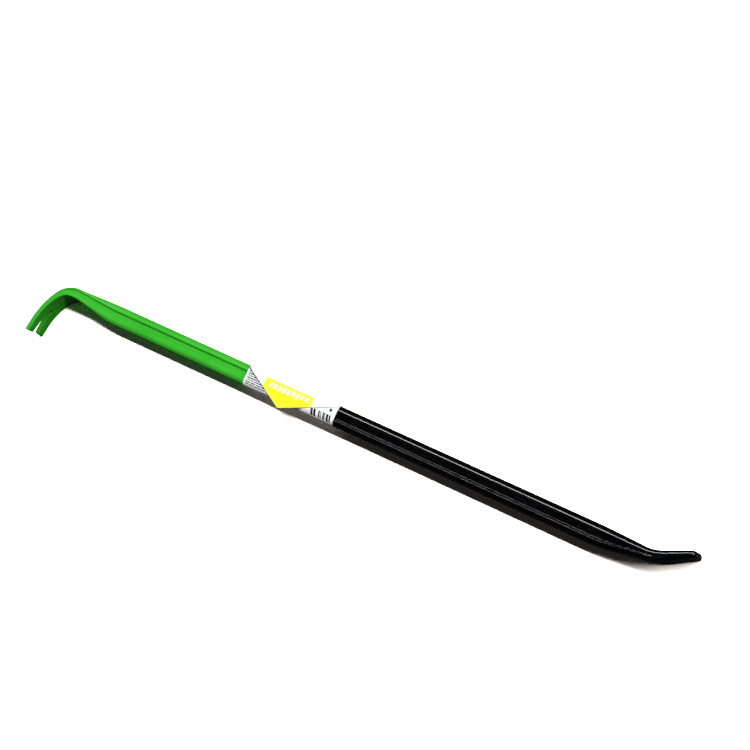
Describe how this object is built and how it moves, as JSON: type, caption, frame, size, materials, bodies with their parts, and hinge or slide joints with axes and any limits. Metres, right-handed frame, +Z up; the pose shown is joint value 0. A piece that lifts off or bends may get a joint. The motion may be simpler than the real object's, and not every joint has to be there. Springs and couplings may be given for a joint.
{
  "type": "wrecking bar",
  "caption": "Forged flat oval pry bar with a slotted claw at one end and a bent chisel at the other, enamelled in two colours, with a paper label round its middle.",
  "frame": {"origin": "middle of the whole bar's box, on the plane that the claw and the chisel rest on", "axes": "+X along the bar from the claw to the chisel, +Y away from the side the claw reaches to, +Z up through the width of the claw"},
  "size_m": [0.9, 0.092, 0.036],
  "materials": {
    "forged_steel": "forged and scale-grey, only seen where enamel has chipped",
    "green_enamel": "satin bright green enamel",
    "black_enamel": "gloss black enamel",
    "printed_paper": "coated white paper with plain yellow, grey and black print",
    "glue": "dull translucent cream"
  },
  "bodies": {
    "root": {"steel_bar": "forged_steel", "green_enamel": "green_enamel", "black_enamel": "black_enamel", "paper_label": "printed_paper", "label_glue": "glue"}
  },
  "joints": []
}
